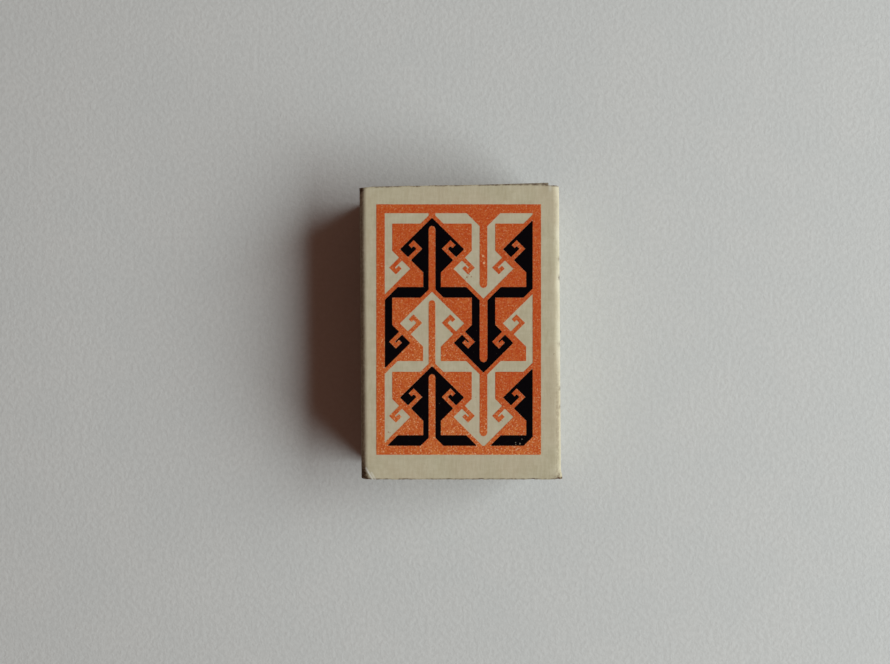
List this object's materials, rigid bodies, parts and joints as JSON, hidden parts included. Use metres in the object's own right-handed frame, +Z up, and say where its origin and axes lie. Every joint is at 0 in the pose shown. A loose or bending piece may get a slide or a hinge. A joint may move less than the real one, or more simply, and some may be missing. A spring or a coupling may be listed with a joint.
{
  "type": "matchbox",
  "caption": "Pocket matchbox: a printed card sleeve with a sliding folded card tray that holds layers of wooden matches.",
  "frame": {"origin": "middle of the sleeve's underside", "axes": "+X across the box, +Y along the box and along the tray's slide, +Z up out of the printed top panel"},
  "size_m": [0.0351, 0.0513, 0.0146],
  "materials": {
    "sleeve_card": "uncoated cream boxboard, matte",
    "tray_card": "uncoated grey-cream boxboard, matte",
    "striking_coat": "gritty brown striking coat, matte",
    "orange_ink": "orange printing ink on card, matte, speckled",
    "black_ink": "black printing ink on card, matte",
    "match_wood": "sawn aspen splint with a dipped brown head, matte"
  },
  "bodies": {
    "sleeve": {"print_black_1": "black_ink", "print_black_2": "black_ink", "print_black_3": "black_ink", "print_orange": "orange_ink", "sleeve": "sleeve_card", "striking_coat": "striking_coat"},
    "tray": {"tray": "tray_card", "match_01": "match_wood", "match_02": "match_wood", "match_03": "match_wood", "match_04": "match_wood", "match_05": "match_wood", "match_06": "match_wood", "match_07": "match_wood", "match_08": "match_wood", "match_09": "match_wood", "match_10": "match_wood", "match_11": "match_wood", "match_12": "match_wood", "match_13": "match_wood", "match_14": "match_wood", "match_15": "match_wood", "match_16": "match_wood", "match_17": "match_wood", "match_18": "match_wood", "match_19": "match_wood", "match_20": "match_wood", "match_21": "match_wood", "match_22": "match_wood", "match_23": "match_wood", "match_24": "match_wood", "match_25": "match_wood", "match_26": "match_wood", "match_27": "match_wood", "match_28": "match_wood", "match_29": "match_wood", "match_30": "match_wood"}
  },
  "joints": [
    {"name": "tray_slide", "type": "slide", "parent": "sleeve", "child": "tray", "axis": [0, 1, 0], "range_m": [-0.04, 0.04]}
  ]
}
